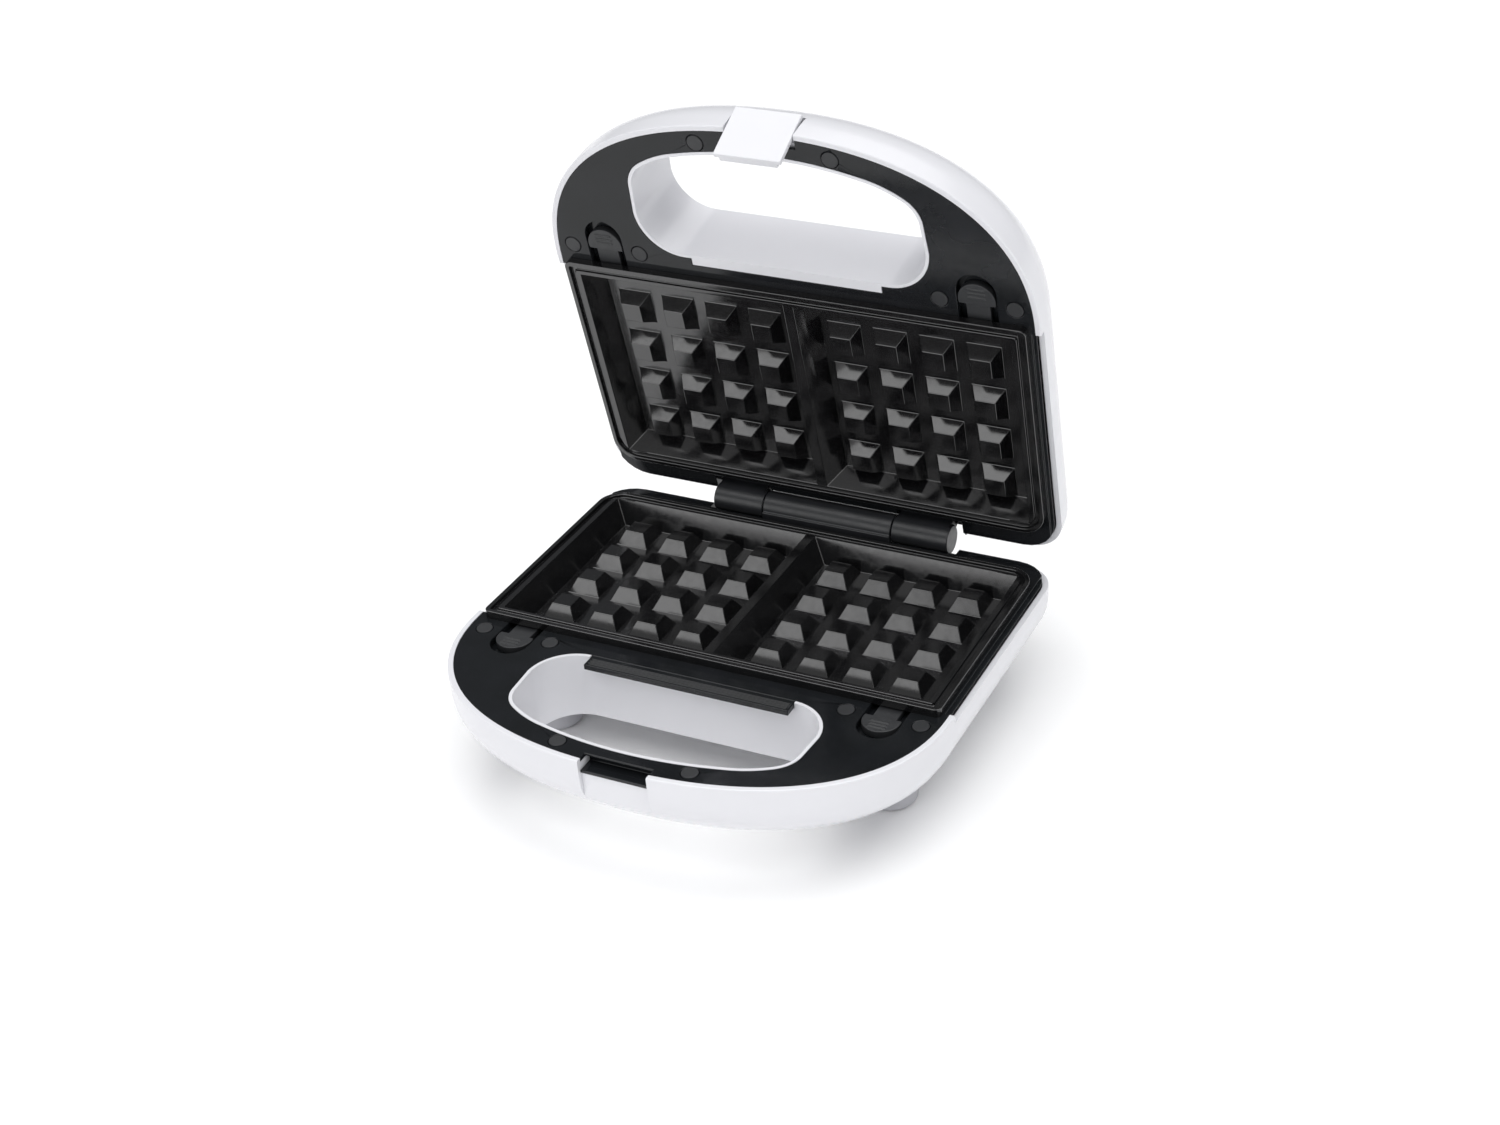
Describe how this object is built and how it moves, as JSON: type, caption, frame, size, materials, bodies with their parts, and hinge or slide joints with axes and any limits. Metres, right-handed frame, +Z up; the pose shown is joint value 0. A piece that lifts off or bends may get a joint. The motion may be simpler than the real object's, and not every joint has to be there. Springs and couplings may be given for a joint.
{
  "type": "waffle maker",
  "caption": "Hinged two-slice waffle maker standing open, with snap-in nonstick grid plates, white casings, black decks, hand holes and a sprung lock latch.",
  "frame": {"origin": "on the standing plane, under the middle of the open machine's outer box", "axes": "+Z up, +X to the right seen from the handle, -Y towards the handle"},
  "size_m": [0.236, 0.2459, 0.2714],
  "materials": {
    "white_shell": "glossy white injection-moulded plastic",
    "black_deck": "glossy black heat-resistant plastic",
    "nonstick": "cast aluminium with glossy black nonstick coating",
    "hinge_black": "satin black glass-filled plastic",
    "dark_trim": "dark grey matte plastic",
    "foot_grey": "light grey rubber",
    "zinc_steel": "zinc-plated steel",
    "sheet_metal": "aluminised sheet steel",
    "heater_tube": "sheathed heating tube, oxidised",
    "ivory_plastic": "ivory heat-resistant plastic",
    "lead_sleeve": "glass-fibre sleeved lead",
    "red_lens": "clear red plastic",
    "green_lens": "clear green plastic"
  },
  "bodies": {
    "base": {"base_shell": "white_shell", "base_deck": "black_deck", "base_plate": "nonstick", "base_reflector": "sheet_metal", "base_heater": "heater_tube", "terminal_block": "ivory_plastic", "base_wires": "lead_sleeve", "feet": "foot_grey", "base_screws": "zinc_steel", "base_screw_caps": "dark_trim", "cord_gland": "dark_trim", "hinge_block": "hinge_black", "hinge_pin": "zinc_steel", "hinge_spring": "zinc_steel"},
    "lid": {"lid_shell": "white_shell", "lid_deck": "black_deck", "lid_plate": "nonstick", "lid_reflector": "sheet_metal", "lid_heater": "heater_tube", "thermostat": "sheet_metal", "thermal_fuse": "lead_sleeve", "lid_wires": "lead_sleeve", "lamp_holder": "ivory_plastic", "power_lens": "red_lens", "ready_lens": "green_lens", "lid_screws": "zinc_steel", "lid_screw_caps": "dark_trim", "hinge_arm_left": "hinge_black", "hinge_arm_right": "hinge_black", "latch_pin": "zinc_steel", "latch_spring": "zinc_steel"},
    "latch": {"latch": "white_shell"},
    "base_release_left": {"base_button_left": "dark_trim"},
    "base_release_right": {"base_button_right": "dark_trim"},
    "lid_release_left": {"lid_button_left": "dark_trim"},
    "lid_release_right": {"lid_button_right": "dark_trim"}
  },
  "joints": [
    {"name": "lid_hinge", "type": "hinge", "parent": "base", "child": "lid", "pos_m": [0, 0.08983, 0.0587], "axis": [-1, 0, 0], "range_deg": [-77, 18]},
    {"name": "latch_pivot", "type": "hinge", "parent": "lid", "child": "latch", "pos_m": [0, 0.05297, 0.26592], "axis": [-1, 0, 0], "range_deg": [0, 28], "stiffness_Nm_per_rad": 0.03, "springref_deg": -17.19},
    {"name": "base_button_left", "type": "slide", "parent": "base", "child": "base_release_left", "axis": [0, -1, 0], "range_m": [0, 0.004], "stiffness_N_per_m": 300, "springref_m": -0.002},
    {"name": "base_button_right", "type": "slide", "parent": "base", "child": "base_release_right", "axis": [0, -1, 0], "range_m": [0, 0.004], "stiffness_N_per_m": 300, "springref_m": -0.002},
    {"name": "lid_button_left", "type": "slide", "parent": "lid", "child": "lid_release_left", "axis": [0, -0.225, 0.9744], "range_m": [0, 0.004], "stiffness_N_per_m": 300, "springref_m": -0.002},
    {"name": "lid_button_right", "type": "slide", "parent": "lid", "child": "lid_release_right", "axis": [0, -0.225, 0.9744], "range_m": [0, 0.004], "stiffness_N_per_m": 300, "springref_m": -0.002}
  ]
}
